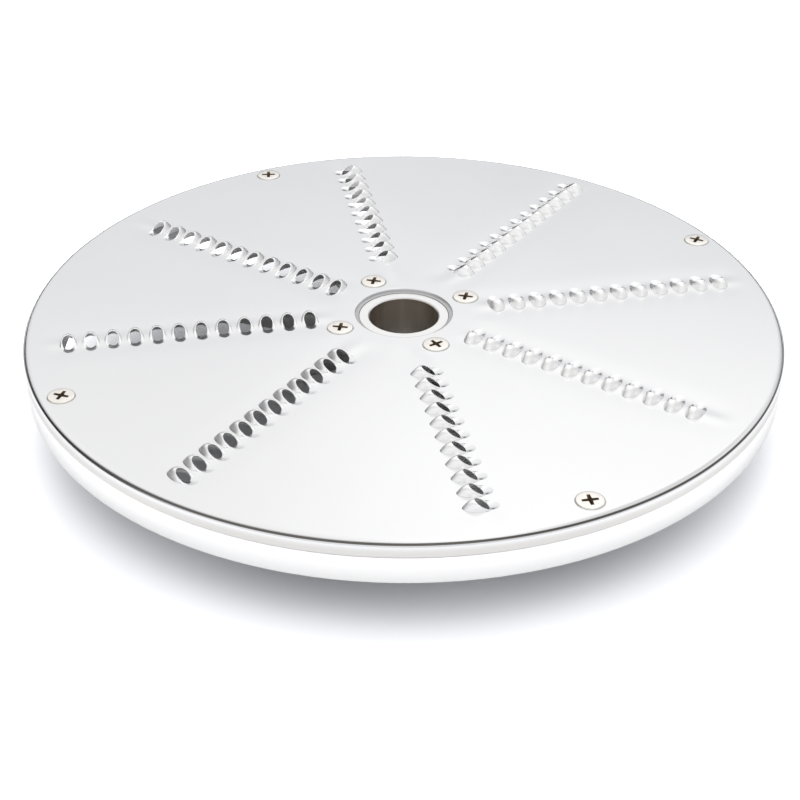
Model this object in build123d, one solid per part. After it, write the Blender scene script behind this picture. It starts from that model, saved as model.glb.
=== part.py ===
from build123d import *
import os
from math import cos, pi, radians, sin, tan

# Grating disc of a vegetable cutter: a stainless sheet plate with pressed teeth, screwed on a
# spoked aluminium casting that has a steel bush in its hub.
# Millimetres, +Z up. The origin is the middle of the hub's foot, on the axis of the shaft.

# The disc as a whole
disc_radius = 102.5
disc_height = 25.0  # hub foot to the flat top of the plate

# Grating plate: flat sheet with a turned-down skirt
sheet = 0.8
skirt_depth = 4.1
bend_radius = 1.9  # outside of the bend
bend_facets = 3
plate_hole_radius = 13.25

# Rows of teeth, one behind each spoke, that all cut when the disc turns counterclockwise
row_count = 8
row_lag = 15.0  # degrees that a row trails its spoke
row_starts = (0.5, 1.0, 1.5, 0.0)  # pitches from the innermost tooth circle, row after row
teeth_per_row = 12
tooth_pitch = 5.86
first_tooth_radius = 23.0
tooth_border = 8.7  # plain edge of the plate outside the last tooth circle

# One tooth: a raised hood behind a tilted mouth, and a pressed-down lip in front of it, both
# drawn with a few flat facets and thinned to an edge at the mouth
tooth_width = 3.7
hood_length = 6.35
hood_rise = 2.2
hood_facets = 5
lip_length = 3.25
lip_fall = 0.55
lip_facets = 3
mouth_tilt = 33.2  # degrees between the mouth and the plate
mouth_ahead = 1.15  # where the mouth cuts the plate's top, ahead of the row's line

# Casting
rim_depth = 11.4  # top of the plate to the bottom of the rim
rim_width = 8.7
band_inset = 0.2  # the bare band of the rim stands this far inside the skirt's outside
skirt_play = 0.15
ledge_gap = 0.2
spoke_width = 4.4
hub_radius = 20.4
barrel_radius = 17.0
corner_radius = 2.5  # in the windows between the spokes
tooth_relief = 0.6  # room round a tooth that overhangs the casting
relief_depth = 2.5

# Hub bush and the slots for the drive pin
bore_radius = 9.5
bush_radius = 12.3
bush_drop = 0.2  # under the casting's top face
press_gap = 0.02  # hair line between the bush and the casting
slot_width = 8.2
slot_depth = 7.0

# Countersunk screws, four at the rim and four at the hub, on the same spokes
screw_count = 4
rim_screw_inset = 6.2  # from the disc's edge to the screw's axis
hub_screw_radius = 19.1
head_radius = 3.5
head_proud = 0.3
thread_radius = 2.0
thread_length = 8.0  # in the casting
screw_play = 0.05
screw_sides = 12
hole_spare = 1.0  # blind hole past the screw's end

# Heights
plate_top = disc_height
seat_top = plate_top - sheet
skirt_bottom = plate_top - skirt_depth
ledge_top = skirt_bottom - ledge_gap
rim_bottom = plate_top - rim_depth

# Radii
skirt_inside = disc_radius - sheet
band_radius = disc_radius - band_inset
register_radius = skirt_inside - skirt_play
window_radius = band_radius - rim_width
rim_screw_radius = disc_radius - rim_screw_inset

row_step = 360 / row_count
overrun = 1.0  # how far a cutting shape runs past the face that it opens
screw_places = [
    Rot(0, 0, 360 / screw_count * turn) * Pos(radius, 0, 0)
    for radius in (rim_screw_radius, hub_screw_radius)
    for turn in range(screw_count)
]


def turned(*outline):
    """A solid of revolution from points (radius, height) round the disc's axis."""
    return revolve(make_face(Plane.XZ * Polyline(*outline, close=True)), Axis.Z)


def bend(radius):
    """Points of a quarter bend at the plate's edge, from the flat top to the upright skirt."""
    angles = [radians(90 * step / bend_facets) for step in range(bend_facets + 1)]
    middle = disc_radius - bend_radius
    height = plate_top - bend_radius
    return [(middle + radius * sin(a), height + radius * cos(a)) for a in angles]


def faceted(*outlines):
    """A solid with flat faces, from the outlines of all of them."""
    return Solid(Shell([Face(Wire.make_polygon(outline)) for outline in outlines]))


def frustum(low_radius, high_radius, low, high):
    """A many-sided stretch of a screw or of its hole."""
    angles = [2 * pi * side / screw_sides for side in range(screw_sides)]
    foot = [Vector(low_radius * cos(a), low_radius * sin(a), low) for a in angles]
    top = [Vector(high_radius * cos(a), high_radius * sin(a), high) for a in angles]
    sides = [[foot[i - 1], foot[i], top[i], top[i - 1]] for i in range(screw_sides)]
    return faceted(foot, top, *sides)


def scoop(apex, rise, facets, feet=None):
    """A pyramid from an apex on the sheet to an arch in the mouth of a tooth.

    The mouth is a plane through the tooth's origin that leans back by mouth_tilt. A negative
    rise hangs the arch down. feet is a height that the arch's two ends are carried on to.
    """
    half = tooth_width / 2
    slope = tan(radians(mouth_tilt))
    angles = [pi * step / facets for step in range(facets + 1)]
    points = [(-half * cos(a), rise * sin(a)) for a in angles]
    if feet is not None:
        points = [(-half, feet), *points, (half, feet)]
    outline = [Vector(-up / slope, across, up) for across, up in points]
    sides = [[Vector(*apex), outline[i - 1], outline[i]] for i in range(len(outline))]
    return faceted(outline, *sides)


def tooth_places():
    """Where the teeth stand on the plate, each one looking along the cutting direction."""
    places = []
    for row in range(row_count):
        turn = Rot(0, 0, row * row_step - row_lag)
        start = row_starts[row % len(row_starts)]
        for tooth in range(teeth_per_row):
            radius = first_tooth_radius + (start + tooth) * tooth_pitch
            if radius <= disc_radius - tooth_border:
                places.append(turn * Pos(radius, mouth_ahead, plate_top) * Rot(0, 0, 90))
    return places


def make_plate():
    inner_bend = bend(bend_radius - sheet)
    plate = turned(
        (plate_hole_radius, seat_top),
        (plate_hole_radius, plate_top),
        *bend(bend_radius),
        (disc_radius, skirt_bottom),
        (skirt_inside, skirt_bottom),
        inner_bend[-1],
        inner_bend[0],
    )
    seat = frustum(thread_radius + screw_play, head_radius + screw_play, seat_top, plate_top)
    plate -= [place * seat for place in screw_places]

    hood = scoop((-hood_length, 0, 0), hood_rise, hood_facets, -sheet / 2)
    under_hood = scoop((-hood_length, 0, -sheet), hood_rise, hood_facets, -sheet - overrun)
    lip = scoop((lip_length, 0, -sheet), -lip_fall, lip_facets)
    over_lip = scoop((lip_length, 0, 0), -lip_fall, lip_facets, overrun)
    places = tooth_places()
    plate += [place * form for place in places for form in (hood, lip)]
    plate -= [place * form for place in places for form in (under_hood, over_lip)]
    return plate


def make_windows():
    """The gaps between the spokes, seen from above."""
    windows = Circle(window_radius) - Circle(hub_radius)
    bar = Pos(window_radius / 2, 0) * Rectangle(window_radius, spoke_width)
    windows -= [Rot(0, 0, row * row_step) * bar for row in range(row_count)]
    middle = (hub_radius + window_radius) / 2
    rim_corners = [c for c in windows.vertices() if c.center().length > middle]
    return fillet(rim_corners, corner_radius)


def make_drive_slots():
    bar = Pos(0, 0, slot_depth / 2) * Box(2 * hub_radius, slot_width, slot_depth)
    return [bar, Rot(0, 0, 90) * bar]


def make_body():
    inner_bend = bend(bend_radius - sheet - skirt_play)
    body = turned(
        (bush_radius + press_gap, 0),
        (barrel_radius, 0),
        (barrel_radius, rim_bottom),
        (band_radius, rim_bottom),
        (band_radius, ledge_top),
        (register_radius, ledge_top),
        inner_bend[-1],
        (inner_bend[0][0], seat_top),
        (bush_radius + press_gap, seat_top),
    )
    body -= Pos(0, 0, rim_bottom) * extrude(make_windows(), seat_top - rim_bottom)
    relief_radius = tooth_width / 2 + tooth_relief
    ahead = lip_length + tooth_relief - relief_radius
    relief = Pos(ahead, 0, -sheet) * extrude(Circle(relief_radius), -relief_depth)
    body -= [place * relief for place in tooth_places()]
    hole_radius = thread_radius + screw_play
    hole = frustum(hole_radius, hole_radius, seat_top - thread_length - hole_spare, seat_top)
    body -= [place * hole for place in screw_places]
    return body - make_drive_slots()


def make_bush():
    return turned(
        (bore_radius, slot_depth),
        (bush_radius, slot_depth),
        (bush_radius, seat_top - bush_drop),
        (bore_radius, seat_top - bush_drop),
    )


def make_screw():
    thread = frustum(thread_radius, thread_radius, seat_top - thread_length, seat_top)
    neck = frustum(thread_radius, head_radius, seat_top, plate_top)
    head = frustum(head_radius, head_radius, plate_top, plate_top + head_proud)
    return thread + neck + head


screw = make_screw()
nodes = {
    "grating_plate": make_plate(),
    "disc_body": make_body(),
    "hub_bush": make_bush(),
    "rim_screws": Compound([place * screw for place in screw_places[:screw_count]]),
    "hub_screws": Compound([place * screw for place in screw_places[screw_count:]]),
}

os.makedirs("parts", exist_ok=True)
for name, shape in nodes.items():
    export_step(shape, f"parts/{name}.step")
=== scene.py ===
from math import atan2, cos, e, pi, radians, sin

import bmesh
import bpy
from mathutils import Matrix, Vector


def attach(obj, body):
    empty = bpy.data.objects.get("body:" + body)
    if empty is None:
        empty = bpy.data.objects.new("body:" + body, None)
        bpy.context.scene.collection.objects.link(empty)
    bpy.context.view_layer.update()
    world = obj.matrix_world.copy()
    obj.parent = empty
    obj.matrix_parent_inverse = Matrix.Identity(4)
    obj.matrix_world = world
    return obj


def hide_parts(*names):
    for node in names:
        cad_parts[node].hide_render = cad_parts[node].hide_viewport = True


# Grating disc of a vegetable cutter on a white table: the toothed plate, the screws and the bush
# are modelled afresh, and the casting is a softened copy of its solid.
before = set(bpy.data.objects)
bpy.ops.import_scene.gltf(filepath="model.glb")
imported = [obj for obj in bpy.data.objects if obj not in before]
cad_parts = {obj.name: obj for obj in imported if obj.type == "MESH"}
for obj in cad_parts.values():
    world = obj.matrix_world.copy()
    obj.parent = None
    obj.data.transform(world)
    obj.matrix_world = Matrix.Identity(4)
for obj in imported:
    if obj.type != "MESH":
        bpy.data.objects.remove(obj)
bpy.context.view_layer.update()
mm = 0.001

# The disc, with the sizes of its solids
disc_radius = 102.5 * mm
plate_top = 25.0 * mm
sheet = 0.8 * mm
seat_top = plate_top - sheet
skirt_depth = 4.1 * mm
skirt_ease = 0.08 * mm
bend_radius = 1.9 * mm  # outside of the bend
plate_hole_radius = 13.25 * mm
hole_round = 0.25 * mm
bore_radius = 9.5 * mm
bush_radius = 12.3 * mm
bush_top = 24.0 * mm
bush_foot = 7.0 * mm
bush_ease = 0.3 * mm
casting_ease = 0.25 * mm

# Steps round the disc's axis and round its small curves
plate_steps = 288
hub_steps = 144
bend_steps = 10
hole_round_steps = 5
casting_ease_steps = 2

# Points this close count as one, or as level. An edge under flat_angle is dissolved, one over
# eased_angle is eased, and one over crease_angle is shaded as a crease.
same_point = 0.001 * mm
same_height = 0.0001 * mm
flat_angle = radians(1)
eased_angle = radians(30)
crease_angle = radians(44)

# Rows of teeth
row_count = 8
row_lag = radians(15)  # by which a row trails its spoke
row_starts = (0.5, 1.0, 1.5, 0.0)  # pitches from the innermost tooth circle, row after row
teeth_per_row = 12
tooth_pitch = 5.86 * mm
first_tooth_radius = 23.0 * mm
tooth_border = 8.7 * mm  # plain edge of the plate outside the last tooth circle

# One tooth, looking along its +X, with z = 0 on the plate's top. The mouth is an ellipse in a
# sloping plane, with a flat ground edge round it.
mouth_half_length = 1.69 * mm
mouth_half_width = 1.57 * mm
mouth_ahead = 1.2 * mm  # where the mouth's plane cuts the plate's top
mouth_slope = 0.68
ground_edge = 0.2 * mm
edge_loss_ends = 0.2  # share of the ground edge that is missing at the tail and the lip
edge_loss_lip = 0.5  # and what more is missing at the lip
lip_dip = 0.1 * mm  # of the upper side at the lip
under_lip_dip = 0.4 * mm  # of the lower side there
tail_length = 4.7 * mm
lip_length = 4.2 * mm
flank = 2.3 * mm
under_spread = 0.3 * mm  # how much wider the lower side runs out
tail_fall = (2, 1.1)  # powers for fall()
lip_fall = (1, 1.15)
flank_fall = (1.5, 1.25)
tooth_sides = 36
upper_rings = (0.15, 0.32, 0.48, 0.62, 0.74, 0.84, 0.91, 0.96, 1.0)
lower_rings = (0.25, 0.5, 0.75, 0.9, 1.0)

# Screws, and how far each cross recess is turned, in degrees
screw_count = 4
rim_screw_radius = disc_radius - 6.2 * mm
hub_screw_radius = 19.1 * mm
head_radius = 3.5 * mm
head_proud = 0.3 * mm
head_edge = 0.05 * mm  # straight stretch under the rounding of the head
head_sides = 40
head_round_steps = 4
seat_play = 0.2 * mm
seat_sides = 36
shank_radius = 2.0 * mm
shank_length = 8.0 * mm
cross_arms = 4
cross_arm = 2.05 * mm
cross_half_width = 0.52 * mm
cross_tip = 0.8  # width of an arm's end against its root
cross_foot = 0.6  # size of the recess's bottom against its top
cross_depth = 1.7 * mm
cross_turns = {"rim": (36, 67, 45, 74), "hub": (51, 52, 55, 8)}

# Table, and the strip light behind the disc
table_reach = 4.0
strip_length = 0.6
strip_width = 0.15
strip_power = 4.0
strip_behind = 0.5
strip_height = 0.14

# Camera of the photograph
camera_place = Vector((-176.31, -352.96, 252.8)) * mm
camera_target = Vector((-20.48, -39.07, 25.0)) * mm
camera_roll = radians(0.184)
camera_lens = 74.935
camera_sensor = 36.0
toward_camera = (camera_place - camera_target).xy.normalized()
camera_right = Vector((-toward_camera.y, toward_camera.x))


class Socket:
    """An output in a node tree. Arithmetic on it adds Math nodes."""

    def __init__(self, tree, out=None):
        self.tree = tree
        self.out = out

    def node(self, kind, settings=None, inputs=None, output=0):
        """Adds a node, with its settings made first, and returns one of its outputs."""
        made = self.tree.nodes.new(kind)
        for name, value in (settings or {}).items():
            setattr(made, name, value)
        for name, value in (inputs or {}).items():
            self.join(value, made.inputs[name])
        return Socket(self.tree, made.outputs[output])

    def join(self, value, target):
        if isinstance(value, Socket):
            self.tree.links.new(value.out, target)
        else:
            target.default_value = value

    def maths(self, operation, first, second=0.0):
        return self.node("ShaderNodeMath", {"operation": operation}, {0: first, 1: second})

    def __add__(self, other):
        return self.maths("ADD", self, other)

    __radd__ = __add__

    def __sub__(self, other):
        return self.maths("SUBTRACT", self, other)

    def __rsub__(self, other):
        return self.maths("SUBTRACT", other, self)

    def __mul__(self, other):
        return self.maths("MULTIPLY", self, other)

    __rmul__ = __mul__

    def __truediv__(self, other):
        return self.maths("DIVIDE", self, other)

    def __pow__(self, other):
        return self.maths("POWER", self, other)

    def __rpow__(self, other):
        return self.maths("POWER", other, self)

    def fraction(self):
        return self.maths("FRACT", self)

    def bell(self, width):
        """1 where this value is 0, falling off over a width to both sides."""
        spread = self / width
        return e ** (spread * spread * -1.0)

    def parts(self):
        split = self.node("ShaderNodeSeparateXYZ", None, {0: self}).out.node
        return [Socket(self.tree, out) for out in split.outputs]

    def from_axis(self):
        """Distance of a place from the disc's axis."""
        x, y, _ = self.parts()
        return (x * x + y * y) ** 0.5

    def along(self, level):
        """How far a place or a direction reaches along a level direction."""
        x, y, _ = self.parts()
        return x * level.x + y * level.y

    def step(self, low, high):
        """0 below low, 1 above high and a smooth step between them."""
        settings = {"interpolation_type": "SMOOTHSTEP"}
        return self.node("ShaderNodeMapRange", settings, {0: self, 1: low, 2: high})

    def noise(self, scale=1.0, detail=2.0):
        inputs = {"Vector": self, "Scale": scale, "Detail": detail}
        return self.node("ShaderNodeTexNoise", None, inputs)

    def stretched(self, *scale):
        return self.node("ShaderNodeMapping", None, {"Vector": self, "Scale": scale})

    def between(self, low, high):
        """A colour from low to high as this value goes from 0 to 1."""
        low, high = (c if isinstance(c, Socket) else (*c, 1.0) for c in (low, high))
        return self.node("ShaderNodeMix", {"data_type": "RGBA"}, {0: self, 6: low, 7: high}, 2)

    def bump(self):
        """A normal from this height in metres."""
        return self.node("ShaderNodeBump", None, {"Height": self, "Distance": 1.0})

    def ray(self, kind):
        return self.node("ShaderNodeLightPath", output=kind)


def new_finish(name, **constants):
    """A material, its surface shader and the coordinates of the piece."""
    material = bpy.data.materials.new(name)
    material.use_nodes = True
    tree = material.node_tree
    surface = tree.nodes["Principled BSDF"]
    for socket, value in constants.items():
        surface.inputs[socket.replace("_", " ")].default_value = value
    place = Socket(tree).node("ShaderNodeTexCoord", output="Object")
    return material, surface, place


def dress(surface, tone, roughness, height=None):
    """Joins a colour, a roughness and a relief in metres to a surface."""
    joined = {"Base Color": tone, "Roughness": roughness}
    if height is not None:
        joined["Normal"] = height.bump()
    for name, socket in joined.items():
        socket.join(socket, surface.inputs[name])


def stainless_sheet():
    """Wiped sheet, with its hoods painted brighter as a painted highlight, and a painted dark
    reflection line on its bend.

    A weak relief along each row of teeth is the strain that the press left in the sheet.
    """
    flat_low, flat_high = (0.79, 0.79, 0.795), (0.83, 0.83, 0.83)
    # painted shade: the turned-down skirt is painted darker than the flat sheet, though both are
    # one sheet
    skirt_painted_shade_tone = (0.72, 0.712, 0.69)
    # painted reflection: a dark line on the bend, standing in for the dark gap that the bend
    # mirrors
    painted_fold_reflection_tone = (0.13, 0.12, 0.11)
    # painted highlight: the hoods are painted near white, brighter than the flat sheet
    painted_hood_highlight_tone = (0.985, 0.98, 0.97)
    dent_width, dent_depth = 5.5 * mm, 0.10 * mm
    ridge_width, ridge_height, ridge_behind = 2.6 * mm, 0.14 * mm, 0.8 * mm
    grain_height = 0.0012 * mm

    material, surface, place = new_finish("stainless_sheet", Metallic=1.0)
    x, y, z = place.parts()
    radius = place.from_axis()
    grain = place.noise(2500, 3.0)
    wipe = place.noise(22)
    fog = place.noise(160, 3.0)

    # Painted shade: the skirt below the bend is painted darker
    skirt = 1 - z.step(22.0 * mm, 23.6 * mm)
    # Painted reflection: a thin band of the bend is painted dark
    painted_fold_reflection = z.step(24.0 * mm, 24.15 * mm) * (1 - z.step(24.45 * mm, 24.58 * mm))
    painted_fold_reflection = painted_fold_reflection * radius.step(100.0 * mm, 100.3 * mm)
    # Painted highlight: the raised hoods are painted near white; they are also made rougher
    hood = z.step(25.03 * mm, 25.25 * mm)
    tone = skirt.between(wipe.between(flat_low, flat_high), skirt_painted_shade_tone)
    tone = hood.between(painted_fold_reflection.between(tone, painted_fold_reflection_tone), painted_hood_highlight_tone)
    roughness = 0.17 + 0.05 * wipe + 0.03 * fog + 0.2 * hood

    turn = place.maths("ARCTAN2", y, x) + row_lag
    row_angle = 2 * pi / row_count
    aside = ((turn / row_angle + 0.5).fraction() - 0.5) * row_angle * radius
    dent = aside.bell(dent_width) * dent_depth
    ridge = (aside + ridge_behind).bell(ridge_width) * ridge_height
    pressed = radius.step(17 * mm, 25 * mm) * (1 - radius.step(91 * mm, 99 * mm))
    dress(surface, tone, roughness, pressed * (ridge - dent) + grain * grain_height)
    return material


def cast_aluminium():
    """A rough casting, turned bright on the outside of its rim."""
    cast_low, cast_high = (0.50, 0.50, 0.50), (0.60, 0.60, 0.595)
    turned_low, turned_high = (0.95, 0.95, 0.945), (0.98, 0.98, 0.975)
    skin_height, lathe_height = 0.06 * mm, 0.002 * mm

    material, surface, place = new_finish("cast_aluminium", Metallic=1.0)
    skin = place.noise(900, 4.0)
    mottle = place.noise(40, 3.0)
    lathe = place.stretched(20, 20, 6000).noise()
    machined = place.from_axis().step(101.0 * mm, 101.6 * mm)
    rest = 1 - machined
    cast = mottle.between(cast_low, cast_high)
    tone = machined.between(cast, lathe.between(turned_low, turned_high))
    roughness = machined * (0.3 + 0.08 * lathe) + rest * (0.4 + 0.15 * skin)
    height = machined * lathe * lathe_height + rest * skin * skin_height
    dress(surface, tone, roughness, height)
    return material


def bush_steel():
    """A bore with painted reflection streaks, a faced end, and painted shade at the joint between
    bush and casting.
    """
    # painted reflection: the bore's light and dark streaks stand in for what the bore mirrors
    bore_low, bore_high = (0.66, 0.61, 0.55), (0.97, 0.91, 0.84)
    face_low, face_high = (0.84, 0.835, 0.82), (0.90, 0.895, 0.88)
    # painted shade: the bush's outer edge is painted dark where it meets the casting
    joint_painted_shade_tone = (0.2, 0.19, 0.18)
    lathe_height = 0.004 * mm

    material, surface, place = new_finish("bush_steel", Metallic=1.0)
    lathe = place.stretched(60, 60, 5000).noise(detail=3.0)
    mottle = place.noise(120, 3.0)
    # Painted reflection: vertical streaks, from light to dark, in the bore
    painted_reflection_streak = place.stretched(220, 220, 4).noise().step(0.4, 0.68)
    end = place.parts()[2].step(bush_top - bush_ease, bush_top - 0.5 * bush_ease)
    # Painted shade: the gap between bush and casting, painted dark on the bush's edge
    joint = place.from_axis().step(12.08 * mm, 12.16 * mm) * 0.7
    tone = end.between(painted_reflection_streak.between(bore_low, bore_high), mottle.between(face_low, face_high))
    dress(surface, joint.between(tone, joint_painted_shade_tone), 0.24 + 0.12 * lathe, lathe * lathe_height)
    return material


def screw_steel():
    tone_low, tone_high = (0.84, 0.80, 0.74), (0.91, 0.88, 0.83)
    grain_height = 0.002 * mm

    material, surface, place = new_finish("screw_steel", Metallic=1.0)
    tone = place.noise(500, 3.0).between(tone_low, tone_high)
    grain = place.noise(3500)
    dress(surface, tone, 0.2 + 0.1 * grain, grain * grain_height)
    return material


def recess_shade():
    """The walls of a cross recess, painted dark brown: painted shade in the hollow."""
    # painted shade: the recess is painted dark brown
    tone_low, tone_high = (0.10, 0.07, 0.04), (0.30, 0.21, 0.13)

    material, surface, place = new_finish("recess_shade", Metallic=0.6)
    mottle = place.noise(1500, 3.0)
    dress(surface, mottle.between(tone_low, tone_high), 0.45 + 0.2 * mottle)
    return material


def new_piece(name, bm, finishes, node):
    """A piece of the disc from its bmesh, in place of a solid."""
    for edge in bm.edges:
        if len(edge.link_faces) == 2 and edge.calc_face_angle() > crease_angle:
            edge.smooth = False
    for face in bm.faces:
        face.smooth = True
    mesh = bpy.data.meshes.new(name)
    bm.to_mesh(mesh)
    bm.free()
    piece = bpy.data.objects.new(name, mesh)
    bpy.context.scene.collection.objects.link(piece)
    for finish in finishes:
        mesh.materials.append(finish)
    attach(piece, "root")
    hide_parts(node)


def of_kind(parts, kind):
    return [part for part in parts if isinstance(part, kind)]


def edges_among(bm, verts):
    chosen = set(verts)
    return [edge for edge in bm.edges if chosen.issuperset(edge.verts)]


def add_ring(bm, place, radius, sides):
    """A circle of edges in the XY plane of a place."""
    verts = bmesh.ops.create_circle(bm, segments=sides, radius=radius, matrix=place)["verts"]
    return edges_among(bm, verts)


def spin_outline(bm, outline, steps, closed=False):
    """Turns points (radius, height) round the disc's axis."""
    verts = [bm.verts.new((radius, 0, height)) for radius, height in outline]
    edges = [bm.edges.new(pair) for pair in zip(verts, verts[1:])]
    if closed:
        edges.append(bm.edges.new((verts[-1], verts[0])))
    bmesh.ops.spin(bm, geom=verts + edges, cent=(0, 0, 0), axis=(0, 0, 1), angle=2 * pi,
        steps=steps, use_merge=True)


def quarter(middle, height, radius, steps):
    """Points of a quarter round, from straight up to straight out, or in for a negative radius."""
    angles = [pi / 2 * step / steps for step in range(steps + 1)]
    return [(middle + radius * sin(a), height + abs(radius) * cos(a)) for a in angles]


def fall(out, start, finish):
    """What is left of the mouth's height: 1 at its edge, 0 at the flat."""
    return (1 - out ** start) ** finish


def tooth_point(turn, out, under=False):
    """A point of the pressed sheet, at a turn round the mouth.

    It lies out from the mouth's edge (0) to the flat of the plate (1).
    """
    ahead, across = cos(turn), sin(turn)
    front = max(0.0, ahead) ** 2
    if under:
        wall = ground_edge * front
        dip, spread, flat = under_lip_dip, under_spread, -sheet
    else:
        wall = ground_edge * (1 - edge_loss_ends * ahead * ahead - edge_loss_lip * front)
        dip, spread, flat = lip_dip, 0.0, 0.0
    edge = Vector(((mouth_half_length + wall) * ahead, (mouth_half_width + wall) * across, 0))
    lift = (mouth_ahead - edge.x) * mouth_slope - dip * front
    length, end_fall = (lip_length, lip_fall) if ahead > 0 else (tail_length, tail_fall)
    foot = Vector(((length + spread) * ahead, (flank + spread) * across, 0))
    point = edge.lerp(foot, out)
    end, side = fall(out, *end_fall), fall(out, *flank_fall)
    point.z = flat + (lift - flat) * (end * ahead * ahead + side * across * across)
    return point


def grow_rings(bm, edges, rings, under=False):
    """Extrudes a loop of edges, ring by ring, over a side of the pressed sheet."""
    layer = bm.verts.layers.float["turn"]
    for out in rings:
        grown = bmesh.ops.extrude_edge_only(bm, edges=edges)["geom"]
        verts = of_kind(grown, bmesh.types.BMVert)
        for vert in verts:
            vert.co = tooth_point(vert[layer], out, under)
        edges = [edge for edge in edges_among(bm, verts) if edge.is_boundary]
    return edges


def press_tooth():
    """One tooth: the upper face round its open mouth, the ground edge and the lower face."""
    bm = bmesh.new()
    layer = bm.verts.layers.float.new("turn")
    bmesh.ops.create_circle(bm, segments=tooth_sides, radius=1.0)
    for vert in bm.verts:
        vert[layer] = atan2(vert.co.y, vert.co.x)
        vert.co = tooth_point(vert[layer], 0.0)
    mouth = bm.edges[:]
    grow_rings(bm, mouth, upper_rings)
    inner = grow_rings(bm, mouth, (0.0,), under=True)
    grow_rings(bm, inner, lower_rings, under=True)
    for edge in mouth + inner:
        edge.smooth = False
    mesh = bpy.data.meshes.new("tooth")
    bm.to_mesh(mesh)
    bm.free()
    return mesh


def tooth_places():
    """Where the teeth stand on the plate, each one looking along the cutting direction."""
    for row in range(row_count):
        turn = Matrix.Rotation(2 * pi * row / row_count - row_lag, 4, "Z")
        start = row_starts[row % len(row_starts)]
        for tooth in range(teeth_per_row):
            radius = first_tooth_radius + (start + tooth) * tooth_pitch
            if radius <= disc_radius - tooth_border:
                place = Matrix.Translation((radius, 0, plate_top))
                yield turn @ place @ Matrix.Rotation(pi / 2, 4, "Z")


def screw_places(radius):
    for number in range(screw_count):
        turn = Matrix.Rotation(2 * pi * number / screw_count, 4, "Z")
        yield turn @ Matrix.Translation((radius, 0, 0))


def sink_seat(bm, place):
    """The countersunk hole of a screw."""
    wide, narrow = head_radius + seat_play, shank_radius + seat_play
    ring = add_ring(bm, place @ Matrix.Translation((0, 0, plate_top)), wide, seat_sides)
    grown = bmesh.ops.extrude_edge_only(bm, edges=ring)["geom"]
    lower = of_kind(grown, bmesh.types.BMVert)
    size = (narrow / wide, narrow / wide, 1)
    bmesh.ops.scale(bm, vec=size, space=place.inverted(), verts=lower)
    bmesh.ops.translate(bm, vec=(0, 0, -sheet), verts=lower)


def fill_flat(bm, height):
    """Fills the sheet's face at a height between the loops that lie open in it."""
    flat = []
    for edge in bm.edges:
        level = all(abs(vert.co.z - height) < same_height for vert in edge.verts)
        if level and len(edge.link_faces) < 2:
            flat.append(edge)
    bmesh.ops.triangle_fill(bm, edges=flat, use_beauty=True)
    for edge in flat:
        edge.smooth = False


def make_plate():
    bm = bmesh.new()
    middle, height = disc_radius - bend_radius, plate_top - bend_radius
    outside = quarter(middle, height, bend_radius, bend_steps)
    inside = quarter(middle, height, bend_radius - sheet, bend_steps)
    skirt_foot = plate_top - skirt_depth
    bottom = [
        (disc_radius, skirt_foot + skirt_ease),
        (disc_radius - skirt_ease, skirt_foot),
        (disc_radius - sheet, skirt_foot),
    ]
    spin_outline(bm, outside + bottom + inside[::-1], plate_steps)
    middle, height = plate_hole_radius + hole_round, plate_top - hole_round
    hole = quarter(middle, height, -hole_round, hole_round_steps)
    spin_outline(bm, hole + [(plate_hole_radius, seat_top)], hub_steps)
    for radius in (rim_screw_radius, hub_screw_radius):
        for place in screw_places(radius):
            sink_seat(bm, place)
    tooth = press_tooth()
    for place in tooth_places():
        copy = tooth.copy()
        copy.transform(place)
        bm.from_mesh(copy)
        bpy.data.meshes.remove(copy)
    bpy.data.meshes.remove(tooth)
    fill_flat(bm, plate_top)
    fill_flat(bm, seat_top)
    bmesh.ops.recalc_face_normals(bm, faces=bm.faces)
    new_piece("toothed_plate", bm, [stainless_sheet()], "grating_plate")


def make_casting():
    bm = bmesh.new()
    bm.from_mesh(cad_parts["disc_body"].data)
    bmesh.ops.remove_doubles(bm, verts=bm.verts, dist=same_point)
    bmesh.ops.dissolve_limit(bm, angle_limit=flat_angle, verts=bm.verts, edges=bm.edges)
    inner = [edge for edge in bm.edges if len(edge.link_faces) == 2]
    sharp = [edge for edge in inner if edge.calc_face_angle() > eased_angle]
    bmesh.ops.bevel(bm, geom=sharp, offset=casting_ease, offset_type="OFFSET",
        segments=casting_ease_steps, profile=0.5, affect="EDGES", clamp_overlap=True, material=-1)
    new_piece("spoked_casting", bm, [cast_aluminium()], "disc_body")


def make_bush():
    bm = bmesh.new()
    rim_ease = bush_ease / 2
    outline = [
        (bore_radius, bush_foot + bush_ease),
        (bore_radius, bush_top - bush_ease),
        (bore_radius + bush_ease, bush_top),
        (bush_radius - rim_ease, bush_top),
        (bush_radius, bush_top - rim_ease),
        (bush_radius, bush_foot + bush_ease),
        (bush_radius - bush_ease, bush_foot),
        (bore_radius + bush_ease, bush_foot),
    ]
    spin_outline(bm, outline, hub_steps, closed=True)
    bmesh.ops.recalc_face_normals(bm, faces=bm.faces)
    new_piece("bored_bush", bm, [bush_steel()], "hub_bush")


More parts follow.
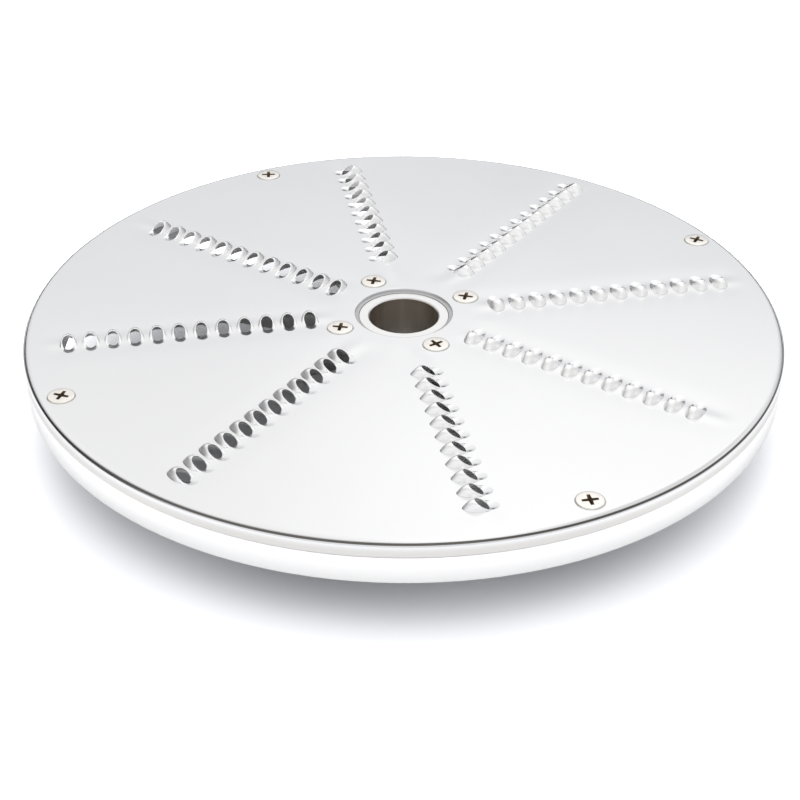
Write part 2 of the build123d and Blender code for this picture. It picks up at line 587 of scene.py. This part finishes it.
def cut_cross(bm, rim, top, turn):
    """Fills a screw's head inside its rim, round a sunk cross in the second finish."""
    tip, root = cross_half_width * cross_tip, cross_half_width
    corners = []
    for number in range(cross_arms):
        spin = Matrix.Rotation(2 * pi / cross_arms * number + turn, 4, "Z")
        for x, y in ((cross_arm, -tip), (cross_arm, tip), (root, root)):
            corners.append(bm.verts.new(spin @ Vector((x, y, top))))
    cut = [bm.edges.new(pair) for pair in zip(corners, corners[1:] + corners[:1])]
    bmesh.ops.triangle_fill(bm, edges=rim + cut, use_beauty=True)
    sunk = bmesh.ops.extrude_edge_only(bm, edges=cut)["geom"]
    foot = of_kind(sunk, bmesh.types.BMVert)
    bmesh.ops.scale(bm, vec=(cross_foot, cross_foot, 1), verts=foot)
    bmesh.ops.translate(bm, vec=(0, 0, -cross_depth), verts=foot)
    bottom = bmesh.ops.triangle_fill(bm, edges=edges_among(bm, foot))["geom"]
    # The cross's walls and bottom take the second finish, which is painted dark as shade.
    for face in of_kind(sunk + bottom, bmesh.types.BMFace):
        face.material_index = 1


def make_screw(bm, place, turn):
    """A countersunk screw with a cross recess, drawn from its head down to its end."""
    old = set(bm.verts)
    wide, high = head_radius - head_proud, plate_top + head_proud
    rim = add_ring(bm, Matrix.Translation((0, 0, high)), wide, head_sides)
    cut_cross(bm, rim, high, turn)
    levels = quarter(wide, plate_top, head_proud, head_round_steps)[1:]
    levels += [
        (head_radius, plate_top - head_edge),
        (shank_radius, seat_top),
        (shank_radius, seat_top - shank_length),
    ]
    for radius, height in levels:
        grown = bmesh.ops.extrude_edge_only(bm, edges=rim)["geom"]
        ring = of_kind(grown, bmesh.types.BMVert)
        bmesh.ops.scale(bm, vec=(radius / wide, radius / wide, 1), verts=ring)
        bmesh.ops.translate(bm, vec=(0, 0, height - high), verts=ring)
        rim = edges_among(bm, ring)
        wide, high = radius, height
    bmesh.ops.contextual_create(bm, geom=rim)
    bmesh.ops.transform(bm, matrix=place, verts=[v for v in bm.verts if v not in old])


def make_screws(name, radius, node, finishes):
    bm = bmesh.new()
    for place, turn in zip(screw_places(radius), cross_turns[name]):
        make_screw(bm, place, radians(turn))
    bmesh.ops.recalc_face_normals(bm, faces=bm.faces)
    new_piece(f"{name}_countersunk_screws", bm, finishes, node)


def make_table():
    """A white table. The metal sees it dimmer beside the disc, and it bounces little light."""
    seen_tone = (1.49, 1.5, 1.54)
    mirrored_front, mirrored_side = (1.15, 1.15, 1.16), (0.92, 0.92, 0.93)
    bounce_tone = (0.1, 0.1, 0.104)

    bm = bmesh.new()
    bmesh.ops.create_grid(bm, x_segments=1, y_segments=1, size=table_reach)
    mesh = bpy.data.meshes.new("table")
    bm.to_mesh(mesh)
    bm.free()
    material, surface, place = new_finish("white_table", Roughness=1.0, Specular_IOR_Level=0.0)
    first = 1 - place.ray("Diffuse Depth").step(0.0, 1.0)
    mirrored = (place.ray("Is Glossy Ray") + place.ray("Is Transmission Ray")) * first
    front = (place.along(toward_camera) / place.from_axis()).step(0.1, 0.7)
    tone = mirrored.between(bounce_tone, front.between(mirrored_side, mirrored_front))
    tone = place.ray("Is Camera Ray").between(tone, seen_tone)
    place.join(tone, surface.inputs["Base Color"])
    mesh.materials.append(material)
    table = bpy.data.objects.new("table", mesh)
    bpy.context.scene.collection.objects.link(table)


def make_studio():
    """A white tent that lights evenly, and that the metal sees in more detail.

    In the metal the tent has a brighter roof, a dim right side, a dark gap that arches over the
    camera and a dark corner low behind the disc, at the left.
    """
    wall_light, wall_loss = 0.895, 0.05
    roof_light, roof_gain = 0.18, 0.25
    side_loss = 0.35
    gap_loss, gap_gain = 0.5, 0.25
    gap_right, gap_ahead, gap_up = 0.197, -0.613, 0.766  # the pole that the gap runs round
    corner_loss, corner_lean = 0.97, 0.6
    low_tint, high_tint = (0.985, 0.995, 1.03), (1.0, 1.0, 1.0)

    world = bpy.data.worlds.new("studio")
    bpy.context.scene.world = world
    world.use_nodes = True
    tree = world.node_tree
    direction = Socket(tree).node("ShaderNodeTexCoord", output="Generated")
    ahead, right = direction.along(toward_camera), direction.along(camera_right)
    up = direction.parts()[2]

    roof = (roof_light + roof_gain * right.step(-0.12, 0.06)) * up.step(0.48, 0.525)
    side = right.step(0.25, 0.5) * up.step(0.5, 0.62)
    tent = wall_light - wall_loss * right.step(-0.05, 0.15) + roof
    tent = tent * (1 - side_loss * side)
    arch = gap_up * up + gap_ahead * ahead + gap_right * right
    gap = arch.step(0.1, 0.2) * (1 - arch.step(0.43, 0.53))
    gap = gap * (gap_loss - gap_gain * right.step(0.1, 0.7))
    behind = 1 - (ahead + corner_lean * right).step(-0.5, 0.1)
    corner = behind * (1 - up.step(0.2, 0.3)) * corner_loss
    mirrored = tent * (1 - gap) * (1 - corner)

    glossy = direction.ray("Is Glossy Ray")
    background = tree.nodes["Background"]
    direction.join(up.step(0.42, 0.53).between(low_tint, high_tint), background.inputs["Color"])
    direction.join(glossy * mirrored + (1 - glossy), background.inputs["Strength"])


def aimed(place, target):
    """A lamp's or a camera's place, looking at a target."""
    aim = (target - place).to_track_quat("-Z", "Y").to_matrix().to_4x4()
    return Matrix.Translation(place) @ aim


def make_strip_light():
    """A low strip light behind the disc, for the table alone: the metal doesn't see it."""
    data = bpy.data.lights.new("strip_light", "AREA")
    data.shape = "RECTANGLE"
    data.size, data.size_y = strip_length, strip_width
    data.energy = strip_power
    lamp = bpy.data.objects.new("strip_light", data)
    behind = toward_camera * -strip_behind
    lamp.matrix_world = aimed(Vector((behind.x, behind.y, strip_height)), Vector((0, 0, 0)))
    lamp.visible_camera = False
    lamp.visible_glossy = False
    bpy.context.scene.collection.objects.link(lamp)


def make_camera():
    data = bpy.data.cameras.new("camera")
    data.lens = camera_lens
    data.sensor_width = camera_sensor
    camera = bpy.data.objects.new("camera", data)
    roll = Matrix.Rotation(camera_roll, 4, "Z")
    camera.matrix_world = aimed(camera_place, camera_target) @ roll
    bpy.context.scene.collection.objects.link(camera)
    bpy.context.scene.camera = camera


make_plate()
make_casting()
make_bush()
screw_finishes = [screw_steel(), recess_shade()]
make_screws("rim", rim_screw_radius, "rim_screws", screw_finishes)
make_screws("hub", hub_screw_radius, "hub_screws", screw_finishes)
make_table()
make_studio()
make_strip_light()
make_camera()
bpy.context.scene.view_settings.view_transform = "Standard"
